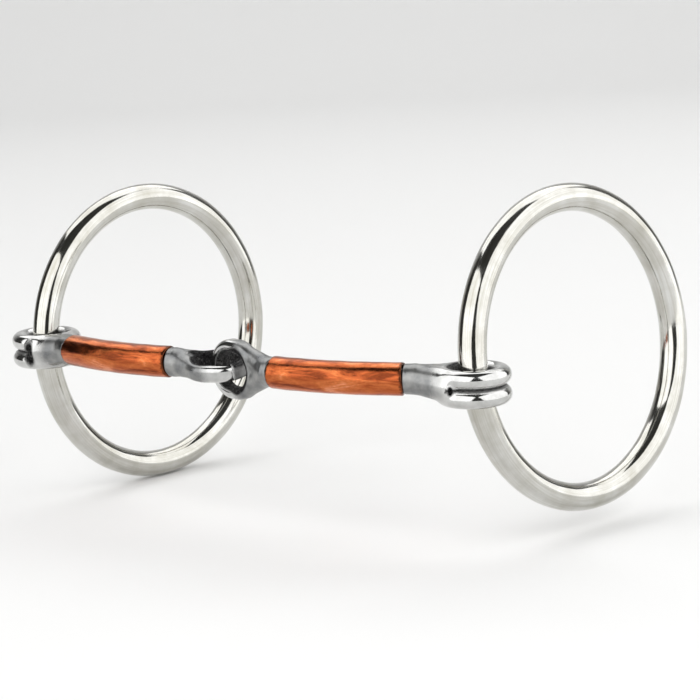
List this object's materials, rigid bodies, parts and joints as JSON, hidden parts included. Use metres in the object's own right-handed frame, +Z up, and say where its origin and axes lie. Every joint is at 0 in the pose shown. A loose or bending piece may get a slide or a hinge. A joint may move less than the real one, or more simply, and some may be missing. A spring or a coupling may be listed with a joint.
{
  "type": "snaffle bit",
  "caption": "Loose-ring snaffle bit: curved copper-sleeved mouthpiece jointed in the middle by linked eyes, with a round steel ring turning freely in the eye at each end.",
  "frame": {"origin": "where the two arms link, level with their centre lines: the end bar of the right link eye stands on it", "axes": "+Z up when the rings stand upright; +X from the left ring to the right ring; +Y towards the side that the rings stand on, the rein side; the mouthpiece bows towards -Y"},
  "size_m": [0.1389, 0.1063, 0.0797],
  "materials": {
    "polished_ring_steel": "polished stainless steel",
    "cast_steel": "satin stainless steel, darkened inside the eyes",
    "rod_steel": "plain drawn rod, hidden inside the sleeve",
    "copper": "polished copper with darker lengthwise streaks"
  },
  "bodies": {
    "right_arm": {"right_ring_eye": "cast_steel", "right_link_eye": "cast_steel", "right_core_rod": "rod_steel", "right_copper_sleeve": "copper"},
    "left_arm": {"left_ring_eye": "cast_steel", "left_link_eye": "cast_steel", "left_core_rod": "rod_steel", "left_copper_sleeve": "copper"},
    "right_ring": {"right_ring": "polished_ring_steel"},
    "left_ring": {"left_ring": "polished_ring_steel"}
  },
  "joints": [
    {"name": "mouthpiece_fold", "type": "hinge", "parent": "right_arm", "child": "left_arm", "pos_m": [0, 0, 0], "axis": [0, 0, 1], "range_deg": [-65, 75]},
    {"name": "right_ring_swing", "type": "hinge", "parent": "right_arm", "child": "right_ring", "pos_m": [0.06235, 0.02029, 0], "axis": [0, 0, 1], "range_deg": [-120, 60]},
    {"name": "left_ring_swing", "type": "hinge", "parent": "left_arm", "child": "left_ring", "pos_m": [-0.05948, -0.00478, 0], "axis": [0, 0, 1], "range_deg": [-60, 120]}
  ]
}
